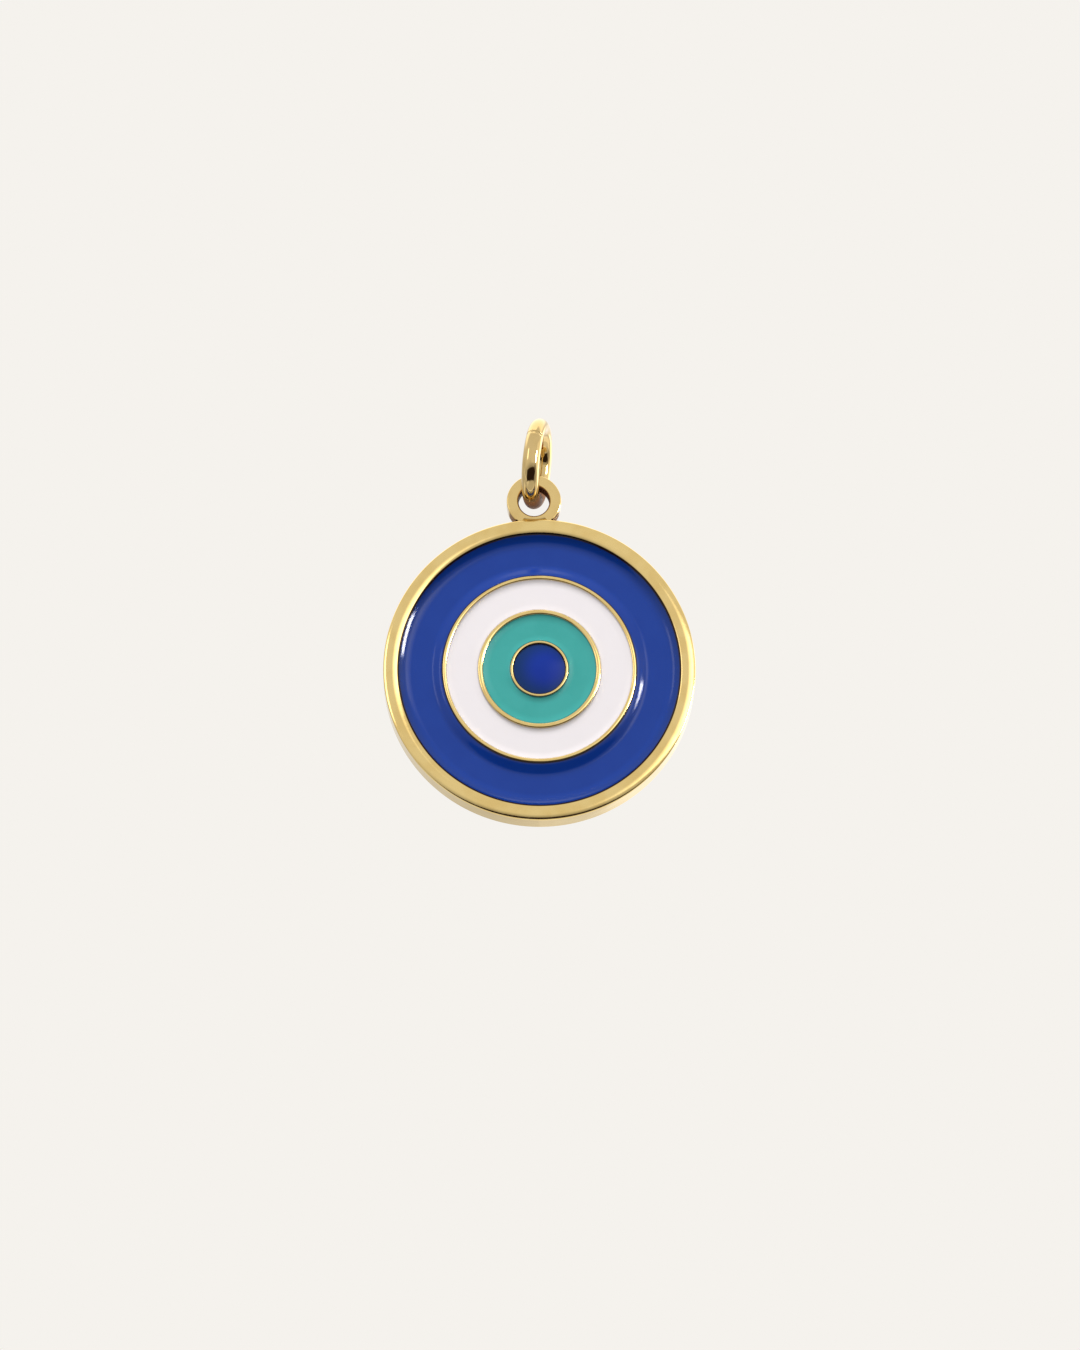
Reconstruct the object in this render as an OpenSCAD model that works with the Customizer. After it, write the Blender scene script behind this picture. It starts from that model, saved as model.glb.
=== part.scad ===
// Evil eye charm: a round framed disc with four enamel cells, a flat loop on top
// and a wire jump ring threaded through the loop.
// Units are millimetres. The disc stands in the XZ plane, its face looks along -Y, +Z is up,
// and the origin is the centre of the jump ring, from which the charm hangs.

/* [Disc] */
// outside diameter of the framed disc
disc_diameter = 18; // [16:0.5:24]
// full depth of the disc, front to back
disc_thickness = 1.8; // [1.6:0.1:2.4]
// width of the flat polished rim
rim_width = 0.87; // [0.6:0.01:1]
// thickness of the plate under the enamel
plate_thickness = 0.6; // [0.4:0.05:0.8]
// rounding of the outer edges of the rim
rim_edge = 0.16; // [0.08:0.02:0.2]

/* [Ring walls] */
// outside radius of the wall between blue and white
outer_wall_radius = 5.59; // [5.4:0.01:6]
// outside radius of the wall between white and turquoise
middle_wall_radius = 3.54; // [3.4:0.01:3.8]
// outside radius of the wall around the pupil
inner_wall_radius = 1.66; // [1.6:0.01:1.9]
// width of the outer wall
outer_wall_width = 0.22; // [0.18:0.01:0.4]
// width of the middle wall
middle_wall_width = 0.26; // [0.18:0.01:0.4]
// width of the wall around the pupil
inner_wall_width = 0.13; // [0.11:0.01:0.2]
// how far the wall tops sit below the rim face
wall_setback = 0.05; // [0:0.01:0.1]

/* [Enamel] */
// how far the enamel edge sits below the wall tops
enamel_edge_drop = 0.06; // [0.03:0.01:0.1]
// sag in the middle of the blue ring
blue_sag = 0.38; // [0.2:0.01:0.44]
// sag in the middle of the white ring
white_sag = 0.16; // [0.08:0.01:0.24]
// sag in the middle of the turquoise ring
turquoise_sag = 0.16; // [0.08:0.01:0.24]
// rise of the domed pupil
pupil_rise = 0.22; // [0.12:0.01:0.26]

/* [Loop] */
// radius of the hole in the loop
loop_hole_radius = 0.9; // [0.85:0.01:0.95]
// radial width of the loop
loop_wall = 0.68; // [0.6:0.01:0.75]
// depth of the loop, front to back
loop_thickness = 1.1; // [1:0.05:1.3]
// height of the loop centre above the rim
loop_lift = 1.2; // [1.15:0.01:1.25]
// rounding of the loop edges
loop_edge = 0.12; // [0.08:0.01:0.2]
// radius of the solder fillets at the foot of the loop
fillet_radius = 0.16; // [0.1:0.01:0.25]

/* [Jump ring] */
// wire diameter, 18 gauge
wire_diameter = 1; // [0.8:0.05:1]
// inside diameter of the wire ring
ring_inside = 3.3; // [3.3:0.05:3.4]
// turn of the ring about the upright axis
ring_turn = -8; // [-9:1:0]
// lean of the ring to the side
ring_lean = 9; // [0:1:9]
// place of the butt seam, degrees above the front of the ring
seam_place = 28; // [0:1:80]
// arc of the solder in the seam, degrees
seam_arc = 4; // [2:0.5:6]

/* [Which piece] */
// one piece by name, or "all"

/* [Hidden] */
$fn = 96;
rim_r = disc_diameter / 2;
cell_r = rim_r - rim_width;
front = disc_thickness / 2;
floor_h = -front + plate_thickness;
wall_top = front - wall_setback;
enamel_edge = wall_top - enamel_edge_drop;
loop_r = loop_hole_radius + loop_wall;
loop_z = rim_r + loop_lift;
wire_r = wire_diameter / 2;
ring_r = ring_inside / 2 + wire_r;
ring_z = loop_z + 2.36;
ring_x = 0.24;
ring_y = -0.2;
solder_wire_r = wire_r - 0.015;

gold = [0.87, 0.75, 0.45];

// pieces are drawn about the centre of the disc, then hung from the centre of the jump ring
module hung() translate([-ring_x, -ring_y, -ring_z]) children();

// turns a profile drawn as (radius, height towards the front) into a ring facing -Y
module disc_lathe() rotate([90, 0, 0]) rotate_extrude() children();

// rectangle with all four corners rounded, centred on the origin
module rounded_bar(w, h, r) {
    square([w - 2 * r, h], center = true);
    square([w, h - 2 * r], center = true);
    for (x = [-1, 1], y = [-1, 1]) translate([x * (w / 2 - r), y * (h / 2 - r)]) circle(r);
}

// thin upright wall between two enamel cells
module wall(outer, w) disc_lathe() translate([outer - w, floor_h]) square([w, wall_top - floor_h]);

// ring of enamel with a hollow top, filling the cell between two radii
module hollow_enamel(r1, r2, sag) {
    half = (r2 - r1) / 2;
    arc_r = (half * half + sag * sag) / (2 * sag);
    disc_lathe() difference() {
        translate([r1, floor_h]) square([r2 - r1, enamel_edge - floor_h]);
        translate([r1 + half, enamel_edge - sag + arc_r]) circle(arc_r, $fn = 360);
    }
}

module back_plate() color(gold)
    rotate([90, 0, 0]) translate([0, 0, -front]) cylinder(r = cell_r, h = plate_thickness);

module rim_band() color(gold)
    disc_lathe() translate([rim_r - rim_width / 2, 0]) difference() {
        square([rim_width, disc_thickness], center = true);
        for (s = [-1, 1]) translate([rim_width / 2 - rim_edge, s * (front - rim_edge)])
            difference() {
                translate([0, s > 0 ? 0 : -rim_edge]) square(rim_edge);
                circle(rim_edge);
            }
    }

module outer_cloison() color(gold) wall(outer_wall_radius, outer_wall_width);
module middle_cloison() color(gold) wall(middle_wall_radius, middle_wall_width);
module inner_cloison() color(gold) wall(inner_wall_radius, inner_wall_width);

module blue_enamel() color([0.15, 0.27, 0.6])
    hollow_enamel(outer_wall_radius, cell_r, blue_sag);
module white_enamel() color([0.95, 0.94, 0.94])
    hollow_enamel(middle_wall_radius, outer_wall_radius - outer_wall_width, white_sag);
module turquoise_enamel() color([0.3, 0.68, 0.65])
    hollow_enamel(inner_wall_radius, middle_wall_radius - middle_wall_width, turquoise_sag);

// domed drop of enamel inside the innermost wall
module pupil_enamel() color([0.13, 0.25, 0.6]) {
    r = inner_wall_radius - inner_wall_width;
    dome_r = (r * r + pupil_rise * pupil_rise) / (2 * pupil_rise);
    edge = enamel_edge - 0.1;
    disc_lathe() intersection() {
        translate([0, floor_h]) square([r, edge + pupil_rise - floor_h]);
        translate([0, edge + pupil_rise - dome_r]) circle(dome_r, $fn = 360);
    }
}

// flat eyelet with rounded edges, its foot trimmed to the round side of the rim
module hanging_loop() color(gold) difference() {
    translate([0, 0, loop_z]) disc_lathe()
        translate([loop_hole_radius + loop_wall / 2, 0])
            rounded_bar(loop_wall, loop_thickness, loop_edge);
    rotate([90, 0, 0]) cylinder(r = rim_r, h = disc_thickness + 1, center = true);
}

// small concave fillets in the two corners between the loop and the rim
module loop_solder() color(gold) {
    a = rim_r + fillet_radius * 0.8;
    b = loop_r + fillet_radius * 0.8;
    fz = (a * a - b * b + loop_z * loop_z) / (2 * loop_z);
    fx = sqrt(a * a - fz * fz);
    for (s = [-1, 1]) rotate([90, 0, 0])
        linear_extrude(height = loop_thickness - 2 * loop_edge, center = true) difference() {
            polygon([[0, rim_r - 1], [s * fx, fz], [0, loop_z]]);
            circle(rim_r);
            translate([0, loop_z]) circle(loop_r);
            translate([s * fx, fz]) circle(fillet_radius);
        }
}

// sets a ring drawn about Z into its threaded place, angles counted from the front upwards
module in_ring_place()
    translate([ring_x, ring_y, ring_z]) rotate([0, 0, ring_turn]) rotate([0, ring_lean, 0])
        rotate([0, -90, 0]) rotate([0, 0, -90]) children();

module wire_arc(start, sweep, r)
    rotate([0, 0, start]) rotate_extrude(angle = sweep) translate([ring_r, 0]) circle(r);

module jump_ring() color(gold) in_ring_place()
    wire_arc(seam_place + seam_arc / 2, 360 - seam_arc, wire_r);
module ring_solder() color(gold) in_ring_place()
    wire_arc(seam_place - seam_arc / 2, seam_arc, solder_wire_r);

hung() back_plate();
hung() rim_band();
hung() outer_cloison();
hung() middle_cloison();
hung() inner_cloison();
hung() blue_enamel();
hung() white_enamel();
hung() turquoise_enamel();
hung() pupil_enamel();
hung() hanging_loop();
hung() loop_solder();
hung() jump_ring();
hung() ring_solder();
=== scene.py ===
"""Evil eye charm: polished gold-plated metal, glossy enamel cells, a flat loop and a wire jump ring."""

import math

import bmesh
import bpy
import numpy as np
from mathutils import Matrix, Vector


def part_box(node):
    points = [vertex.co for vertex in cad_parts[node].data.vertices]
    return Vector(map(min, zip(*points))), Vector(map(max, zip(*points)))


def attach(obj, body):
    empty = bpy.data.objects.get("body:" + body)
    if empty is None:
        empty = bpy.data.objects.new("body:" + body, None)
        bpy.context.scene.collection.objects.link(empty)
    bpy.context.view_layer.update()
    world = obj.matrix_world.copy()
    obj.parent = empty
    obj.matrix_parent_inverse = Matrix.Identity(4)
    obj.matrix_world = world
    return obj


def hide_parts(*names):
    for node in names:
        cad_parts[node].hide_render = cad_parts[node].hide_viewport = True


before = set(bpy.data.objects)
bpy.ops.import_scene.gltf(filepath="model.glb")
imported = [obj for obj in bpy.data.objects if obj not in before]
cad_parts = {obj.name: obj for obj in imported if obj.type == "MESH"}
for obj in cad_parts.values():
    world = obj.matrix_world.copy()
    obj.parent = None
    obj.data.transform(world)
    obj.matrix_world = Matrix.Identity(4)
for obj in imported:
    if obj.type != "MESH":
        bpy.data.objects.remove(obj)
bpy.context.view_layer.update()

MM = 0.001
FULL_TURN = 2 * math.pi
DISC_TURNS, LOOP_TURNS, CUTTER_TURNS = 360, 200, 720  # segments round each turned piece

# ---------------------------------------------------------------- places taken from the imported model
rim_lo, rim_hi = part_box("rim_band")
DISC = (rim_lo + rim_hi) / 2  # centre of the disc
RIM_R = (rim_hi.x - rim_lo.x) / 2 / MM
FRONT = (rim_hi.y - rim_lo.y) / 2 / MM  # half the depth
plate_lo, plate_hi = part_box("back_plate")
CELL_R = (plate_hi.x - plate_lo.x) / 2 / MM
FLOOR = (DISC.y - plate_lo.y) / MM  # height of the cell floor above the middle of the disc


def outer_radius(node):
    lo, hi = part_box(node)
    return (hi.x - lo.x) / 2 / MM


OUTER_R = outer_radius("outer_cloison")
MIDDLE_R = outer_radius("middle_cloison")
INNER_R = outer_radius("inner_cloison")
WHITE_R = outer_radius("white_enamel")
TURQ_R = outer_radius("turquoise_enamel")
PUPIL_R = outer_radius("pupil_enamel")
WALL_TOP = (DISC.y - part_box("outer_cloison")[0].y) / MM
loop_lo, loop_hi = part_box("hanging_loop")
LOOP_R = (loop_hi.x - loop_lo.x) / 2 / MM
LOOP_Z = (loop_hi.z - DISC.z) / MM - LOOP_R  # height of the loop's middle above the disc's
LOOP_HALF = (loop_hi.y - loop_lo.y) / 2 / MM  # half the loop's thickness
LOOP_WALL = 0.68  # width of the loop's flat band, mm
ring_lo, ring_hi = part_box("jump_ring")
RING = (ring_lo + ring_hi) / 2
WIRE_R = 0.5  # mm
RING_R = 2.15  # mm, to the middle of the wire
RING_TURN, RING_LEAN = -8, 9  # degrees about the upright axis and about the front-to-back one
SEAM_AT, SEAM_ARC = 28, 4  # middle and width of the butt seam, in degrees up from the front of the ring


# ---------------------------------------------------------------- mesh helpers
def new_object(name, verts, faces, smooth=True):
    mesh = bpy.data.meshes.new(name)
    mesh.from_pydata([tuple(v) for v in verts], [], faces)
    bm = bmesh.new()
    bm.from_mesh(mesh)
    bmesh.ops.remove_doubles(bm, verts=bm.verts, dist=1e-8)
    bmesh.ops.recalc_face_normals(bm, faces=bm.faces)
    bm.to_mesh(mesh)
    bm.free()
    set_smooth(mesh, smooth)
    obj = bpy.data.objects.new(name, mesh)
    bpy.context.scene.collection.objects.link(obj)
    return obj


def set_smooth(mesh, smooth):
    for polygon in mesh.polygons:
        polygon.use_smooth = smooth


def arc(cx, cy, r, a0, a1, n=8):
    """Points on an arc in the (radius, height) plane, in degrees."""
    angles = [math.radians(a0 + (a1 - a0) * i / n) for i in range(n + 1)]
    return [(cx + r * math.cos(a), cy + r * math.sin(a)) for a in angles]


def supported(points, closed=True, reach=0.012):
    """Adds a point close to each end of every long stretch, so that smooth shading stays flat there."""
    out = []
    n = len(points)
    for i, p in enumerate(points):
        out.append(p)
        if i == n - 1 and not closed:
            break
        q = points[(i + 1) % n]
        d = math.hypot(q[0] - p[0], q[1] - p[1])
        if d > 4 * reach:
            for t in (reach / d, 1 - reach / d):
                out.append((p[0] + (q[0] - p[0]) * t, p[1] + (q[1] - p[1]) * t))
    return out


def lathe(name, profile, closed=True, turns=DISC_TURNS, wobble=None, up=0.0):
    """Turns a profile of (radius, height) points in mm about the disc's axis, or a line that is up mm above.
    A profile that isn't closed starts and ends on the axis. wobble(radius, angle) gives a new radius."""
    verts, faces = [], []
    n = len(profile)
    for i in range(turns):
        a = FULL_TURN * i / turns
        for r, h in profile:
            if wobble:
                r = wobble(r, a)
            x, z = r * MM * math.cos(a), r * MM * math.sin(a)
            verts.append((DISC.x + x, DISC.y - h * MM, DISC.z + up * MM + z))
        j = (i + 1) % turns
        for k in range(n if closed else n - 1):
            m = (k + 1) % n
            faces.append([i * n + k, i * n + m, j * n + m, j * n + k])
    return new_object(name, verts, faces)


def keep(obj, body, node):
    """Puts a piece on its body in place of the CAD node."""
    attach(obj, body)
    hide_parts(node)
    return obj


# ---------------------------------------------------------------- rim and plate
def rim_profile():
    """The rim's section: a crowned face with a soft outer edge and a crisp inner one, and a flat back."""
    edge, inner, back_inner = 0.11, 0.035, 0.04  # radii of the rounded corners
    tilt = 26  # slope of the crown at its two sides, degrees
    s, c = math.sin(math.radians(tilt)), math.cos(math.radians(tilt))
    crown = (RIM_R - CELL_R - (edge + inner) * (1 - s)) / (2 * s)
    middle = CELL_R + inner * (1 - s) + crown * s
    top = FRONT - 0.002  # just inside the CAD rim
    shoulder = top - crown * (1 - c)
    pts = arc(CELL_R + inner, shoulder - inner * c, inner, 180, 90 + tilt, 8)
    pts += arc(middle, top - crown, crown, 90 + tilt, 90 - tilt, 28)[1:-1]
    pts += arc(RIM_R - edge, shoulder - edge * c, edge, 90 - tilt, 0, 14)
    pts += arc(RIM_R - edge, -FRONT + edge, edge, 0, -90, 12)
    pts += arc(CELL_R + back_inner, -FRONT + back_inner, back_inner, -90, -180, 5)
    return supported(pts)


def plate_profile():
    """The plate's section: its back is set in by a hair from the rim's, with a rounded edge."""
    edge, set_in = 0.05, 0.01
    pts = [(0, FLOOR), (CELL_R, FLOOR)]
    pts += arc(CELL_R - edge, -FRONT + set_in + edge, edge, 0, -90, 6)
    pts.append((0, -FRONT + set_in))
    return supported(pts, closed=False)


rim = keep(lathe("rim", rim_profile()), "pendant", "rim_band")
plate = keep(lathe("plate", plate_profile(), closed=False), "pendant", "back_plate")


# ---------------------------------------------------------------- cell walls
def wall_profile(r_out, r_in, top, crown):
    """A thin upright wall with a round top that slopes by crown degrees at its two sides."""
    half = (r_out - r_in) / 2
    slope = math.radians(crown)
    crown_r = half / math.sin(slope)
    steps = 14
    pts = [(r_in, FLOOR)]
    for i in range(steps + 1):
        t = slope * (2 * i / steps - 1)
        pts.append((r_out - half + crown_r * math.sin(t), top - crown_r * (1 - math.cos(t))))
    pts.append((r_out, FLOOR))
    return supported(pts)


def ripple(amount, seed):
    """Slow irregularity of a cast edge: up to about twice amount, in mm."""
    rng = np.random.default_rng(seed)
    counts = (3, 5, 8, 13, 21, 34, 47)  # waves round the edge
    waves = [(k, rng.uniform(0.4, 1) / k ** 0.5, rng.uniform(0, FULL_TURN)) for k in counts]
    return lambda r, a: r + amount * sum(w * math.sin(k * a + phase) for k, w, phase in waves)


# name, node, outer and inner radius, top, slope of the crown, ripple and its seed
walls = [
    keep(lathe(name, wall_profile(r_out, r_in, top, crown), wobble=ripple(amount, seed)),
         "pendant", node)
    for name, node, r_out, r_in, top, crown, amount, seed in (
        ("wall_outer", "outer_cloison", OUTER_R, WHITE_R, WALL_TOP, 44, 0.004, 3),
        ("wall_middle", "middle_cloison", MIDDLE_R, TURQ_R, WALL_TOP, 40, 0.005, 5),
        ("wall_inner", "inner_cloison", INNER_R, PUPIL_R, WALL_TOP - 0.01, 36, 0.002, 7),
    )
]


# ---------------------------------------------------------------- enamels
def climb(height, reach):
    """Height of the enamel at a distance from a wall that it climbs with growing slope."""
    return lambda d: height * max(0.0, 1 - d / reach) ** 2


def swell(height, reach):
    """The same, but rounding over before the wall: steepest half way up."""

    def rise(d):
        t = min(1.0, d / reach)
        return height * (1 - t) ** 2 * (1 + 2 * t)

    return rise


def enamel_profile(r1, r2, hollow, inside, outside, steps=64):
    """Enamel between two walls: a flat hollow whose edges rise to the walls."""
    pts = [(r1, FLOOR)]
    for i in range(steps + 1):
        d = (r2 - r1) * (1 - math.cos(math.pi * i / steps)) / 2
        pts.append((r1 + d, hollow + inside(d) + outside(r2 - r1 - d)))
    pts.append((r2, FLOOR))
    return pts


def dome_profile(r, edge, rise, steps=30):
    """A round drop whose edge stands at a height and whose middle is higher by rise."""
    dome_r = (r * r + rise * rise) / (2 * rise)
    pts = [(0, FLOOR), (r, FLOOR)]
    for i in range(steps + 1):
        x = r * (1 - i / steps)
        pts.append((x, edge + rise - dome_r + math.sqrt(dome_r ** 2 - x * x)))
    return pts


# each cell's enamel runs into the walls on both sides by a hair
THIN_LAP, LAP = 0.01, 0.02
# name, node, inner and outer radius, height of the hollow, and how it climbs the inner and the outer wall
blue, white, turquoise = [
    keep(lathe(name, enamel_profile(r1, r2, hollow, inside, outside)), "pendant", node)
    for name, node, r1, r2, hollow, inside, outside in (
        ("enamel_blue", "blue_enamel", OUTER_R - LAP, CELL_R + THIN_LAP, 0.40,
         swell(0.31, 0.76), climb(0.365, 0.80)),
        ("enamel_white", "white_enamel", MIDDLE_R - LAP, WHITE_R + LAP, 0.66,
         climb(0.05, 0.45), climb(0.08, 0.45)),
        ("enamel_turquoise", "turquoise_enamel", INNER_R - THIN_LAP, TURQ_R + LAP, 0.66,
         climb(0.11, 0.42), climb(0.11, 0.5)),
    )
]
pupil = keep(lathe("enamel_pupil", dome_profile(PUPIL_R + THIN_LAP, 0.71, 0.17), closed=False),
             "pendant", "pupil_enamel")


# ---------------------------------------------------------------- hanging loop and its solder
def loop_mesh():
    """The flat eyelet: a rounded-edge ring, cut where it meets the rim."""
    outer_edge, inner_edge = 0.09, 0.11
    sunk = 0.03  # the loop's feet end this far inside the rim
    mid, half_wide = LOOP_R - LOOP_WALL / 2, LOOP_WALL / 2
    pts = []
    for sx, sy, start in ((1, 1, 0), (-1, 1, 90), (-1, -1, 180), (1, -1, 270)):
        edge = outer_edge if sx > 0 else inner_edge
        pts += arc(mid + sx * (half_wide - edge), sy * (LOOP_HALF - edge), edge, start, start + 90, 9)
    loop = lathe("loop", supported(pts), turns=LOOP_TURNS, up=LOOP_Z)
    front, back = FRONT + 1, -FRONT - 1
    cutter = lathe("cutter", [(0, front), (RIM_R - sunk, front), (RIM_R - sunk, back), (0, back)],
                   closed=False, turns=CUTTER_TURNS)
    cut = loop.modifiers.new("cut", "BOOLEAN")
    cut.operation, cut.solver, cut.object = "DIFFERENCE", "EXACT", cutter
    evaluated = loop.evaluated_get(bpy.context.evaluated_depsgraph_get())
    mesh = bpy.data.meshes.new_from_object(evaluated)
    loop.modifiers.clear()
    loop.data = mesh
    bpy.data.objects.remove(cutter)
    set_smooth(mesh, True)
    return loop


def crossing(disc_r, loop_r):
    """Where a circle about the disc's middle crosses one about the loop's: (x, z) in mm on the right."""
    z = (disc_r ** 2 - loop_r ** 2 + LOOP_Z ** 2) / (2 * LOOP_Z)
    return math.sqrt(disc_r ** 2 - z * z), z


def solder_mesh():
    """The two fillets at the foot of the loop, with softened front and back edges."""
    fillet_r = 0.16
    apart = fillet_r * 0.8  # of its centre from the rim and the loop: the arc's ends run into both
    steps = 12
    centre_x, centre_z = crossing(RIM_R + apart, LOOP_R + apart)
    notch_x, notch_z = crossing(RIM_R, LOOP_R)
    root_x, root_z = notch_x - 0.06, notch_z - 0.02  # sunk a little into both the rim and the loop
    # along the fillet's own hollow arc, from the loop down to the rim, then back through the root
    to_loop = math.atan2(LOOP_Z - centre_z, -centre_x)
    to_rim = math.atan2(-centre_z, -centre_x) % FULL_TURN
    turns = [to_loop + (to_rim - to_loop) * i / steps for i in range(steps + 1)]
    outline = [(centre_x + fillet_r * math.cos(t), centre_z + fillet_r * math.sin(t)) for t in turns]
    outline.append((root_x, root_z))
    half, soft, narrow = LOOP_HALF - 0.2, 0.04, 0.82
    layers = [(-half, narrow), (-half + soft, 1.0), (half - soft, 1.0), (half, narrow)]
    verts, faces = [], []
    m = len(outline)
    for side in (-1, 1):
        base = len(verts)
        for h, share in layers:
            for x, z in outline:
                px = root_x + (x - root_x) * share
                pz = root_z + (z - root_z) * share
                verts.append((DISC.x + side * px * MM, DISC.y - h * MM, DISC.z + pz * MM))
        for k in range(len(layers) - 1):
            low, high = base + k * m, base + (k + 1) * m
            for i in range(m):
                j = (i + 1) % m
                faces.append([low + i, low + j, high + j, high + i])
        faces.append([base + i for i in reversed(range(m))])
        faces.append([base + (len(layers) - 1) * m + i for i in range(m)])
    return new_object("loop_fillets", verts, faces)


loop = keep(loop_mesh(), "pendant", "hanging_loop")
fillets = keep(solder_mesh(), "pendant", "loop_solder")

# ---------------------------------------------------------------- jump ring and its seam
RING_PLACE = (
    Matrix.Translation(RING)
    @ Matrix.Rotation(math.radians(RING_TURN), 4, "Z")
    @ Matrix.Rotation(math.radians(RING_LEAN), 4, "Y")
)
END_ROUND, END_DROP = 0.9, 0.018  # the wire's cut ends round off over these degrees, by these mm


def ring_point(deg, tube, r):
    """A point r mm from the middle of the wire. deg counts from the front of the ring upwards; tube goes
    round the wire in radians."""
    a = math.radians(deg)
    rad = (RING_R + r * math.cos(tube)) * MM
    return RING_PLACE @ Vector((r * MM * math.sin(tube), -rad * math.cos(a), rad * math.sin(a)))


def wire(name, start, end, radii, steps, around=64):
    """A length of round wire along the ring. radii gives the wire's radius at a share of its length."""
    verts, faces = [], []
    for i in range(steps + 1):
        deg = start + (end - start) * i / steps
        verts += [ring_point(deg, FULL_TURN * k / around, radii(i / steps)) for k in range(around)]
    for i in range(steps):
        for k in range(around):
            m = (k + 1) % around
            faces.append([i * around + k, i * around + m, (i + 1) * around + m, (i + 1) * around + k])
    faces.append(list(reversed(range(around))))
    faces.append([steps * around + k for k in range(around)])
    return new_object(name, verts, faces)


def ring_radii(share):
    from_end = min(share, 1 - share) * (360 - SEAM_ARC)
    t = max(0.0, 1 - from_end / END_ROUND)
    return WIRE_R - END_DROP * (1 - math.sqrt(1 - t * t))


def seam_radii(share):
    """The solder in the seam lies a little below the wire and is hollow in the middle."""
    below, hollow = 0.016, 0.006
    return WIRE_R - below - hollow * math.sin(math.pi * share)


SEAM_LOW, SEAM_HIGH = SEAM_AT - SEAM_ARC / 2, SEAM_AT + SEAM_ARC / 2
ring = keep(wire("ring_wire", SEAM_HIGH, SEAM_LOW + 360, ring_radii, 712),
            "ring", "jump_ring")
seam = keep(wire("ring_seam", SEAM_LOW, SEAM_HIGH, seam_radii, 12),
            "ring", "ring_solder")


# ---------------------------------------------------------------- node helpers
class Nodes:
    """Short names for building a node tree."""

    def __init__(self, tree):
        self.tree = tree
        tree.nodes.clear()

    def add(self, kind, **settings):
        node = self.tree.nodes.new(kind)
        for key, value in settings.items():
            setattr(node, key, value)
        return node

    def link(self, a, b):
        self.tree.links.new(a, b)

    def math(self, op, a, b=None):
        node = self.add("ShaderNodeMath", operation=op)
        for i, v in enumerate((a, b)):
            if isinstance(v, (int, float)):
                node.inputs[i].default_value = v
            elif v is not None:
                self.link(v, node.inputs[i])
        return node.outputs[0]

    def ramp(self, value, lo, hi, to_lo=0.0, to_hi=1.0, kind="SMOOTHSTEP"):
        node = self.add("ShaderNodeMapRange", interpolation_type=kind)
        self.link(value, node.inputs["Value"])
        for key, v in (("From Min", lo), ("From Max", hi), ("To Min", to_lo), ("To Max", to_hi)):
            node.inputs[key].default_value = v
        return node.outputs["Result"]

    def mix(self, factor, a, b):
        node = self.add("ShaderNodeMix", data_type="RGBA")
        self.link(factor, node.inputs["Factor"])
        for socket, v in ((node.inputs[6], a), (node.inputs[7], b)):
            if isinstance(v, tuple):
                socket.default_value = (*v, 1)
            else:
                self.link(v, socket)
        return node.outputs[2]

    def place(self):
        return self.add("ShaderNodeTexCoord").outputs["Object"]

    def noise(self, vec, scale, detail=3.0, rough=0.5):
        tex = self.add("ShaderNodeTexNoise")
        tex.inputs["Scale"].default_value = scale
        tex.inputs["Detail"].default_value = detail
        tex.inputs["Roughness"].default_value = rough
        self.link(vec, tex.inputs["Vector"])
        return tex.outputs["Fac"]

    def bump(self, height, strength, depth_mm, below=None):
        node = self.add("ShaderNodeBump")
        node.inputs["Strength"].default_value = strength
        node.inputs["Distance"].default_value = depth_mm * MM
        self.link(height, node.inputs["Height"])
        if below:
            self.link(below, node.inputs["Normal"])
        return node.outputs[0]


def new_material(name, kind="ShaderNodeBsdfPrincipled"):
    """A material with one shader: returns it, its nodes and the shader."""
    mat = bpy.data.materials.new(name)
    mat.use_nodes = True
    n = Nodes(mat.node_tree)
    shader = n.add(kind)
    n.link(shader.outputs[0], n.add("ShaderNodeOutputMaterial").inputs[0])
    return mat, n, shader


def paint(mat, *objects):
    for obj in objects:
        obj.data.materials.clear()
        obj.data.materials.append(mat)


def mm_coords(n):
    mapping = n.add("ShaderNodeMapping")
    mapping.inputs["Scale"].default_value = (1 / MM,) * 3
    n.link(n.place(), mapping.inputs["Vector"])
    return mapping.outputs["Vector"]


def distance_mm(n, place):
    """Distance in mm from a point."""
    away = n.add("ShaderNodeVectorMath", operation="DISTANCE")
    n.link(n.place(), away.inputs[0])
    away.inputs[1].default_value = place
    return n.math("MULTIPLY", away.outputs["Value"], 1 / MM)


def radius_mm(n, height=0.0, along=0.0):
    """Distance in mm from a front-to-back axis. It is height above, and along to the right of, the disc's
    middle."""
    apart = n.add("ShaderNodeSeparateXYZ")
    n.link(n.place(), apart.inputs[0])
    x = n.math("MULTIPLY", n.math("SUBTRACT", apart.outputs[0], DISC.x + along * MM), 1 / MM)
    z = n.math("MULTIPLY", n.math("SUBTRACT", apart.outputs[2], DISC.z + height * MM), 1 / MM)
    return n.math("SQRT", n.math("ADD", n.math("MULTIPLY", x, x), n.math("MULTIPLY", z, z)))


# ---------------------------------------------------------------- materials
DISC_TO_LOW = RIM_R + 0.55  # painted shade on the loop's sides below this distance from the disc's middle, mm
# painted shade, dark brown, in the loop's hole and low on its sides
HOLE_SHADE = (0.15, 0.062, 0.035)
SIDE_SHADE = (0.30, 0.17, 0.075)
# painted shade in the corners where the loop's feet meet the rim
CORNER_SHADE = (0.045, 0.022, 0.012)
# painted reflection and shade: dark copper where the wire's low side reflects the gold and lies in shade
COPPER_REFLECTION = (0.44, 0.205, 0.090)
CORNER_SHADE_REACH = 0.15  # mm, how far the painted shade reaches in each corner at the loop's feet
REFLECTION_AT, REFLECTION_REACH = -106, 1.62  # where the painted dark coppery reflection and shade lie on the wire: degrees up from the ring's front, and mm
ENAMEL_ROUGH = (0.08, 0.125)
SHADE_LINE_HALF = 0.085  # half width of the painted shade line between enamel and metal, mm
# painted shade and dark reflection: the colour of the line where enamel meets metal
SHADE_LINE_COLOUR = (0.020, 0.008, 0.008)


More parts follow.
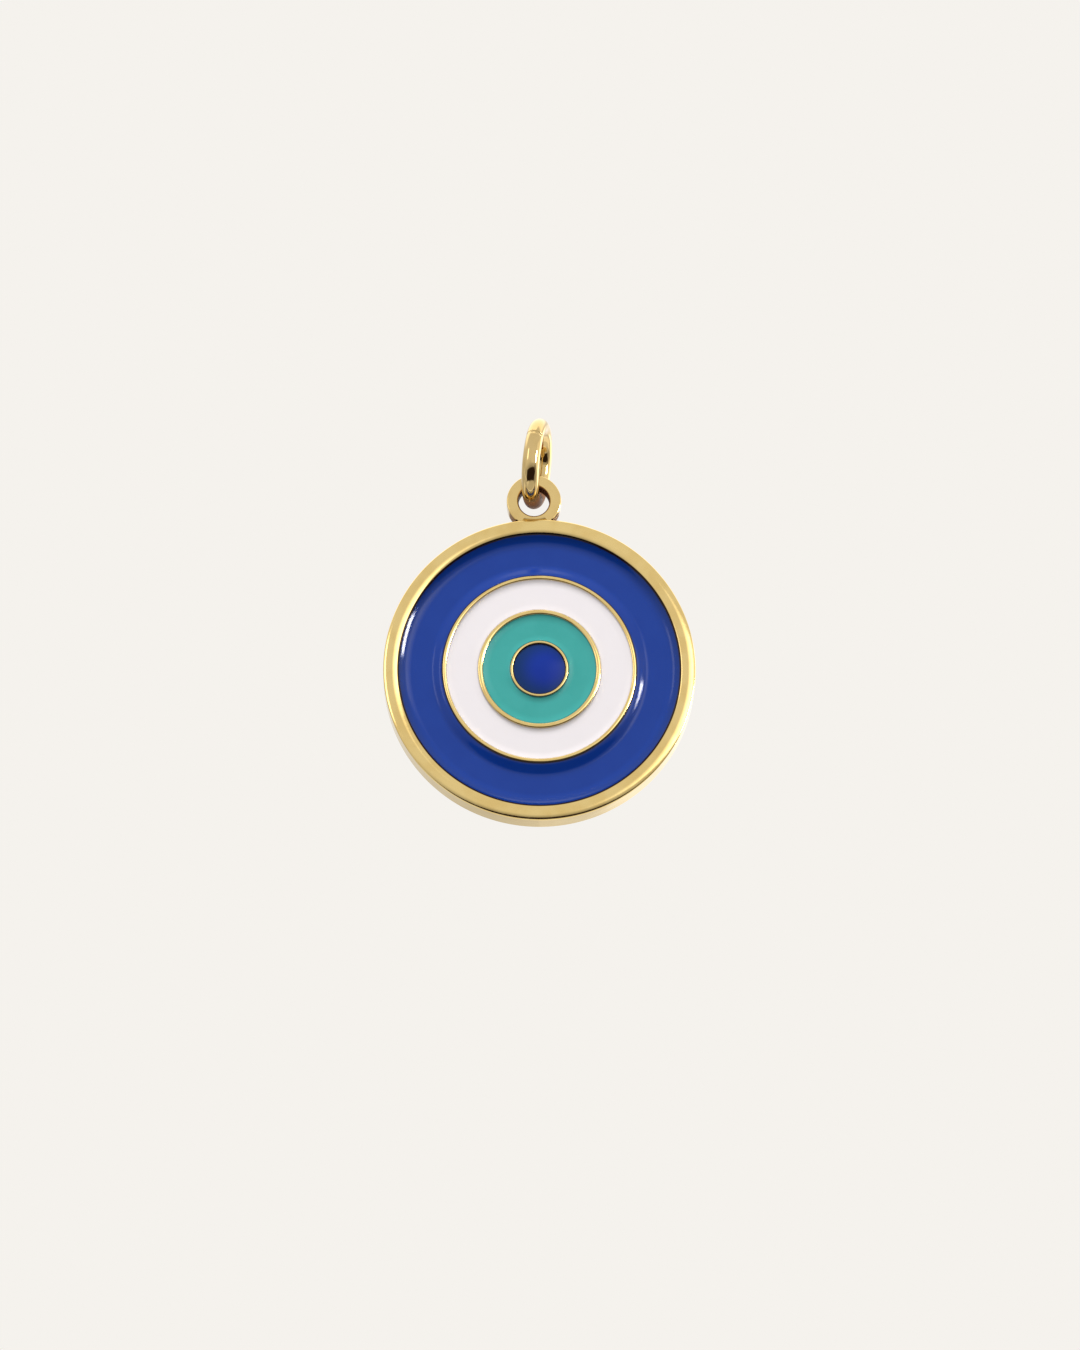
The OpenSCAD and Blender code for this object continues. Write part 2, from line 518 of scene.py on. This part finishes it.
def scratches(n, vec):
    """Sparse hairlines left by polishing, in two directions."""
    lines = []
    for turn in (0.4, 1.9):
        mapping = n.add("ShaderNodeMapping")
        mapping.inputs["Rotation"].default_value = (0.0, turn, 0.3)
        mapping.inputs["Scale"].default_value = (0.35, 9.0, 9.0)
        n.link(vec, mapping.inputs["Vector"])
        lines.append(n.ramp(n.noise(mapping.outputs[0], 2.0, 2.0), 0.66, 0.72))
    return n.math("MAXIMUM", *lines)


def painted_shade_lines(n, colour, r, shade_rings):
    """Painted shade: dark rings of (radius, strength) that stand in for the shade and dark reflection where
    enamel meets metal, on the front; on the back they only just show.
    """
    apart = n.add("ShaderNodeSeparateXYZ")
    n.link(n.place(), apart.inputs[0])
    ahead = n.ramp(apart.outputs[1], DISC.y - 0.1 * MM, DISC.y + 0.1 * MM, 1.0, 0.25)
    for shade_r, strength in shade_rings:
        off = n.math("ABSOLUTE", n.math("SUBTRACT", r, shade_r))
        line = n.ramp(off, SHADE_LINE_HALF * 0.35, SHADE_LINE_HALF, strength, 0.0)
        colour = n.mix(n.math("MULTIPLY", line, ahead), colour, SHADE_LINE_COLOUR)
    return colour


def painted_shading(n, vec, shaded_within, corner_shades, copper_reflection):
    """(share, colour) of each kind of painted shade and painted reflection; gold tells what the arguments
    mean.
    """
    shaded_areas = []
    # painted shade in the loop's hole and low on its sides, near the disc
    if shaded_within:
        height, inside, outside = shaded_within
        off = radius_mm(n, height)
        shaded_areas.append((n.ramp(off, inside, inside + 0.04, 1.0, 0.0), HOLE_SHADE))
        side = n.ramp(off, outside - 0.025, outside - 0.005)
        low = n.ramp(radius_mm(n), DISC_TO_LOW, DISC_TO_LOW + 0.25, 1.0, 0.0)
        shaded_areas.append((n.math("MULTIPLY", side, low), SIDE_SHADE))
    # painted shade spots in the corners
    for place, reach in corner_shades:
        shaded_areas.append((n.ramp(distance_mm(n, place), reach * 0.6, reach, 1.0, 0.0), CORNER_SHADE))
    # painted dark coppery reflection and shade on the wire
    if copper_reflection:
        place, reach = copper_reflection
        smear = n.math("SUBTRACT", n.noise(vec, 3.5, 3.0), 0.5)
        frayed = n.math("ADD", distance_mm(n, place), n.math("MULTIPLY", smear, 0.3))
        shaded_areas.append((n.ramp(frayed, reach * 0.75, reach * 1.1, 1.0, 0.0), COPPER_REFLECTION))
    return shaded_areas


def gold(name, base=(0.80, 0.605, 0.255), deep=(0.75, 0.545, 0.21), rough=(0.06, 0.12), wave=0.2,
         shaded_within=None, corner_shades=(), copper_reflection=None, shade_rings=()):
    """Polished gold plate: slow colour drift, fine polishing grain, faint swell and hairline scratches.
    shaded_within = (centre above the disc, inner radius, outer radius) in mm paints dark brown shade in
    a loop's hole and low on its sides, and each (place, reach in mm) in corner_shades is a painted spot of
    shade. shade_rings are painted shade lines, as in the enamel. copper_reflection = (place, reach in mm)
    paints a dark coppery reflection and shade on the metal."""
    mat, n, bsdf = new_material(name)
    bsdf.inputs["Metallic"].default_value = 1.0
    vec = mm_coords(n)
    grain = n.noise(vec, 14.0, 4.0, 0.6)
    colour = n.mix(n.ramp(n.noise(vec, 0.9, 2.0), 0.38, 0.72), base, deep)
    smear = n.ramp(n.noise(vec, 2.3, 3.0), 0.5, 0.75, 0.0, 0.05)
    dull = n.math("ADD", n.ramp(grain, 0.3, 0.7, *rough), smear)
    # painted shade and reflection: where they fall the gold turns darker, duller and less metallic
    shade_share = None
    for share, tint in painted_shading(n, vec, shaded_within, corner_shades, copper_reflection):
        colour = n.mix(share, colour, tint)
        shade_share = share if shade_share is None else n.math("MAXIMUM", shade_share, share)
    if shade_share is not None:
        dull = n.math("ADD", dull, n.math("MULTIPLY", shade_share, 0.25))
        n.link(n.ramp(shade_share, 0.0, 1.0, 1.0, 0.0, "LINEAR"), bsdf.inputs["Metallic"])
        bsdf.inputs["Specular IOR Level"].default_value = 0.02
    if shade_rings:
        # painted shade lines on the metal's edges
        colour = painted_shade_lines(n, colour, radius_mm(n), shade_rings)
    n.link(colour, bsdf.inputs["Base Color"])
    n.link(dull, bsdf.inputs["Roughness"])
    shaped = n.bump(n.noise(vec, 1.6, 2.0), wave, 0.02)
    shaped = n.bump(grain, 0.08, 0.004, shaped)
    n.link(n.bump(scratches(n, vec), 0.10, 0.002, shaped), bsdf.inputs["Normal"])
    return mat


def enamel(name, base, shade, shade_rings, spec=0.3, edge_shading=None):
    """Fired enamel: clouded colour, a slightly uneven gloss, and a painted shade line where it meets the
    metal, at each (radius, strength) in shade_rings. edge_shading = (from radius, to radius, colour, along)
    paints shade at the edge of a cell, darker towards the walls, about a point that far to the right of its
    middle, so that the side towards the light stays lighter."""
    mat, n, bsdf = new_material(name)
    bsdf.inputs["Specular IOR Level"].default_value = spec
    vec = mm_coords(n)
    colour = n.mix(n.ramp(n.noise(vec, 0.7, 3.0), 0.3, 0.75), base, shade)
    # painted shade: the cell runs darker towards its edge, lighter on the side towards the light
    if edge_shading:
        from_r, to_r, tint, along = edge_shading
        colour = n.mix(n.ramp(radius_mm(n, along=along), from_r, to_r), colour, tint)
    waver = n.math("MULTIPLY", n.math("SUBTRACT", n.noise(vec, 3.0, 2.0), 0.5), 0.05)
    # painted shade line where the enamel meets the metal
    colour = painted_shade_lines(n, colour, n.math("ADD", radius_mm(n), waver), shade_rings)
    n.link(colour, bsdf.inputs["Base Color"])
    n.link(n.ramp(n.noise(vec, 30.0, 2.0), 0.3, 0.7, *ENAMEL_ROUGH), bsdf.inputs["Roughness"])
    n.link(n.bump(n.noise(vec, 2.2, 2.0), 0.12, 0.02), bsdf.inputs["Normal"])
    return mat


def foot(side):
    """The notch where the loop's front edge runs into the rim, on the left (-1) or the right (1)."""
    out = 1.07  # mm from the middle of the loop
    height = math.sqrt(RIM_R ** 2 - out ** 2) + 0.05
    return (DISC.x + side * out * MM, DISC.y - (LOOP_HALF - 0.03) * MM, DISC.z + height * MM)


# the rim gets a painted shade line at the cell's edge, and the walls get them along their edges
paint(gold("gold_disc", shade_rings=((CELL_R, 1.0),)), rim, plate)
# the loop: painted shade in its hole, low on its sides and in the corners at its feet
paint(gold("gold_loop", base=(0.75, 0.555, 0.235), deep=(0.70, 0.50, 0.20),
           shaded_within=(LOOP_Z, LOOP_R - LOOP_WALL + 0.02, LOOP_R),
           corner_shades=[(foot(side), CORNER_SHADE_REACH) for side in (-1, 1)]),
      loop, fillets)
paint(gold("gold_wall", rough=(0.08, 0.15),
           shade_rings=((OUTER_R + 0.04, 0.9), (PUPIL_R - 0.06, 0.8), (INNER_R + 0.06, 0.8))),
      *walls)
# the wire: painted dark coppery reflection and shade low down, near the loop
paint(gold("gold_wire", base=(0.68, 0.50, 0.225), deep=(0.62, 0.445, 0.185), rough=(0.045, 0.08), wave=0.12,
           copper_reflection=(ring_point(REFLECTION_AT, 0, 0), REFLECTION_REACH)),
      ring, seam)
# each enamel gets painted shade lines where it meets the metal
paint(enamel("blue_enamel", (0.0040, 0.040, 0.288), (0.0050, 0.043, 0.300), ((OUTER_R, 0.9), (CELL_R, 1.0)),
             spec=0.28, edge_shading=(7.5, 8.1, (0.0036, 0.033, 0.215), 0.0)),
      blue)
paint(enamel("white_enamel", (0.875, 0.830, 0.850), (0.865, 0.820, 0.840),
             ((MIDDLE_R, 0.25), (WHITE_R, 0.12)), spec=0.15),
      white)
paint(enamel("turquoise_enamel", (0.050, 0.390, 0.360), (0.042, 0.365, 0.335),
             ((INNER_R, 0.7), (TURQ_R, 0.35))),
      turquoise)
# the pupil's painted shade leaves its right side, towards the light, lighter
paint(enamel("pupil_enamel", (0.0030, 0.026, 0.290), (0.0040, 0.030, 0.300), ((PUPIL_R, 0.9),),
             spec=0.18, edge_shading=(0.5, 1.7, (0.0030, 0.030, 0.140), 0.35)),
      pupil)

# ---------------------------------------------------------------- stage: floor and card
BACKDROP = (0.9131, 0.8879, 0.8469)
DAYLIGHT = (1.0, 0.985, 0.955)


def direction(azimuth, elevation):
    """Unit vector away from the model, in degrees: azimuth 0 is in front and 90 on the right."""
    a, e = math.radians(azimuth), math.radians(elevation)
    return Vector((math.sin(a) * math.cos(e), -math.cos(a) * math.cos(e), math.sin(e)))


def flat(name, mid, across, upward):
    """A rectangle about a point, from its two half sides."""
    corners = [mid + across * i + upward * j for i, j in ((-1, -1), (1, -1), (1, 1), (-1, 1))]
    return new_object(name, corners, [[0, 1, 2, 3]], smooth=False)


FLOOR_Z, FLOOR_HALF = -0.30, 1.2  # metres
floor = flat("stage_floor", Vector((0, 0, FLOOR_Z)), Vector((FLOOR_HALF, 0, 0)), Vector((0, FLOOR_HALF, 0)))
floor_mat, _, floor_bsdf = new_material("stage_floor")
floor_bsdf.inputs["Base Color"].default_value = (0.93, 0.905, 0.865, 1)
floor_bsdf.inputs["Roughness"].default_value = 0.7
floor_bsdf.inputs["Emission Color"].default_value = (*BACKDROP, 1)
floor_bsdf.inputs["Emission Strength"].default_value = 0.11
paint(floor_mat, floor)
floor.visible_glossy = False
floor.visible_diffuse = False

# a pale card beside the ring, out of the camera's sight: it keeps the wide source out of the wire's polish
CARD_AZ, CARD_EL, CARD_DIST = 28, 12, 0.012  # degrees, and metres from the ring
CARD_HALF_WIDE, CARD_HALF_HIGH = 0.0061, 0.0066  # metres
card_out = direction(CARD_AZ, CARD_EL)
card_side = Vector((0, 0, 1)).cross(card_out).normalized()
card_up = card_out.cross(card_side).normalized()
card = flat("stage_card", RING + card_out * CARD_DIST, card_side * CARD_HALF_WIDE, card_up * CARD_HALF_HIGH)
card_mat, _, card_glow = new_material("stage_card", "ShaderNodeEmission")
card_glow.inputs["Color"].default_value = (*DAYLIGHT, 1)
card_glow.inputs["Strength"].default_value = 0.92
paint(card_mat, card)
for hidden in ("camera", "diffuse", "shadow", "transmission", "volume_scatter"):
    setattr(card, "visible_" + hidden, False)

# ---------------------------------------------------------------- surroundings
world = bpy.data.worlds.new("studio")
bpy.context.scene.world = world
world.use_nodes = True
w = Nodes(world.node_tree)
apart = w.add("ShaderNodeSeparateXYZ")
w.link(w.add("ShaderNodeTexCoord").outputs["Generated"], apart.inputs[0])
X, Y, Z = apart.outputs
path = w.add("ShaderNodeLightPath")
# directions in degrees: az from -180 to 180 with 0 in front, el from -90 to 90, and pitch as seen from the
# side, 0 in front and growing over the top
DEG = 180 / math.pi
ahead = w.math("MULTIPLY", Y, -1.0)
az = w.math("MULTIPLY", w.math("ARCTAN2", X, ahead), DEG)
pitch = w.math("MULTIPLY", w.math("ARCTAN2", Z, ahead), DEG)
el = w.math("MULTIPLY", w.math("ARCSINE", Z), DEG)


def band(value, lo, hi, soft):
    """1 between lo and hi, fading over soft at both ends."""
    rise = w.ramp(value, lo - soft, lo + soft)
    fall = w.ramp(value, hi - soft, hi + soft, 1.0, 0.0)
    return w.math("MULTIPLY", rise, fall)


def patch(az_lo, az_hi, el_lo, el_hi, soft_az, soft_el):
    return w.math("MULTIPLY", band(az, az_lo, az_hi, soft_az), band(el, el_lo, el_hi, soft_el))


def backdrop(colour, strength):
    """A world shader; colour and strength may each be a value or come from other nodes."""
    node = w.add("ShaderNodeBackground")
    for socket, v in ((node.inputs["Color"], colour), (node.inputs["Strength"], strength)):
        if isinstance(v, tuple):
            socket.default_value = (*v, 1)
        elif isinstance(v, float):
            socket.default_value = v
        else:
            w.link(v, socket)
    return node


def choose(ray, other, chosen):
    node = w.add("ShaderNodeMixShader")
    w.link(path.outputs[ray], node.inputs[0])
    w.link(other.outputs[0], node.inputs[1])
    w.link(chosen.outputs[0], node.inputs[2])
    return node


# what the polish reflects: areas added, by amount, to a base that is dimmer towards the ground
behind = w.ramp(w.math("ABSOLUTE", az), 80, 110)
middle = band(X, -0.70, 0.72, 0.06)
dip = w.math("MULTIPLY", w.math("ADD", pitch, el), 0.5)
ceiling = w.math("MAXIMUM", w.math("MULTIPLY", behind, w.ramp(el, 24, 40)), w.ramp(el, 68, 76))
table = w.math("MULTIPLY", behind, w.ramp(el, -30, -10, 1.0, 0.0))
gap = w.math("MULTIPLY", w.math("MULTIPLY", middle, band(dip, -59, -29, 3)), w.ramp(Y, 0.0, 0.05, 1.0, 0.0))
wide = w.math("MULTIPLY", w.ramp(az, 6, 36, kind="LINEAR"), w.ramp(az, 40, 52, 1.0, 0.15))
wide = w.math("ADD", wide, w.math("MULTIPLY", band(az, 112, 145, 6), 0.7))
first_hand = w.math("LESS_THAN", path.outputs["Glossy Depth"], 1.5)
core = w.math("MULTIPLY", patch(60, 72, -9, 8, 1, 1.5), first_hand)
gloss = w.ramp(el, -36, -3, 0.30, 0.90)
for area, amount in (
    (ceiling, 0.90),  # bright wall behind and ceiling
    (table, 1.0),  # table behind
    (patch(-80, -36, -62, -24, 8, 5), 0.30),  # table on the left
    (gap, -0.90),  # dark gap under the camera
    (band(pitch, -92, -63, 3), 0.40),  # table just below and in front
    (w.math("MULTIPLY", band(pitch, -122, -96, 4), middle), -0.35),  # darker under the model
    (patch(56, 104, -40, -14, 6, 4), -0.36),  # dark area low on the right
    (w.math("MULTIPLY", wide, band(el, -9, 23, 4)), 2.15),  # wide soft source on the right
    (core, 48.0),  # its bright core, at first hand only
    (patch(-52, -41, 2, 26, 3, 3), 2.0),  # small source on the left
    (patch(-178, -75, -60, 12, 20, 20), -0.20),  # dimmer room on the left
):
    gloss = w.math("ADD", gloss, w.math("MULTIPLY", area, amount))
gloss = w.math("MAXIMUM", gloss, 0.03)
in_polish = backdrop(w.mix(w.ramp(gloss, 0.03, 0.40), (1.0, 0.64, 0.52), DAYLIGHT), gloss)
# what lights the enamel from all round: stronger from above
on_enamel = backdrop((1.0, 0.995, 0.985), w.ramp(el, -80, 80, 0.42, 0.92, kind="LINEAR"))
seen = choose("Is Camera Ray", choose("Is Glossy Ray", on_enamel, in_polish), backdrop(BACKDROP, 1.0))
w.link(seen.outputs[0], w.add("ShaderNodeOutputWorld").inputs[0])

# a soft key from high in front, seen by the enamel and the floor only: the polish has its own surroundings
KEY_AZ, KEY_EL, KEY_DIST = -8, 58, 0.35
key_data = bpy.data.lights.new("key", "AREA")
key_data.shape = "DISK"
key_data.size = 0.13
key_data.energy = 0.85
key = bpy.data.objects.new("key", key_data)
bpy.context.scene.collection.objects.link(key)
towards = direction(KEY_AZ, KEY_EL)
key_turn = towards.to_track_quat("Z", "Y").to_matrix().to_4x4()
key.matrix_world = Matrix.Translation(DISC + towards * KEY_DIST) @ key_turn
key.visible_glossy = False
key.visible_camera = False

scene = bpy.context.scene
scene.view_settings.view_transform = "Standard"
scene.view_settings.look = "None"
scene.view_settings.exposure = 0.0
scene.view_settings.gamma = 1.0

# ---------------------------------------------------------------- camera
CAM_AZ, CAM_EL, CAM_ROLL = -1.0, -15.8, 1.84  # degrees
CAM_DIST = 0.380
VIEW_HIGH = 77.9  # mm at the disc that fill the picture's height
AIM_RIGHT, AIM_UP = -0.04, 0.15  # mm from the middle of the picture to the middle of the disc
SENSOR = 36.0
cam_data = bpy.data.cameras.new("camera")
cam_data.sensor_width = SENSOR
cam_data.lens = SENSOR * CAM_DIST / (VIEW_HIGH * MM)
cam_data.clip_start, cam_data.clip_end = 0.01, 5.0
cam = bpy.data.objects.new("camera", cam_data)
scene.collection.objects.link(cam)
scene.camera = cam
back = direction(CAM_AZ, CAM_EL)
right = Vector((0, 0, 1)).cross(back).normalized()
up = back.cross(right).normalized()
roll = math.radians(CAM_ROLL)
up, right = up * math.cos(roll) + right * math.sin(roll), right * math.cos(roll) - up * math.sin(roll)
eye = DISC - (right * AIM_RIGHT + up * AIM_UP) * MM + back * CAM_DIST
cam.matrix_world = Matrix.Translation(eye) @ Matrix((right, up, back)).transposed().to_4x4()

bpy.context.view_layer.update()
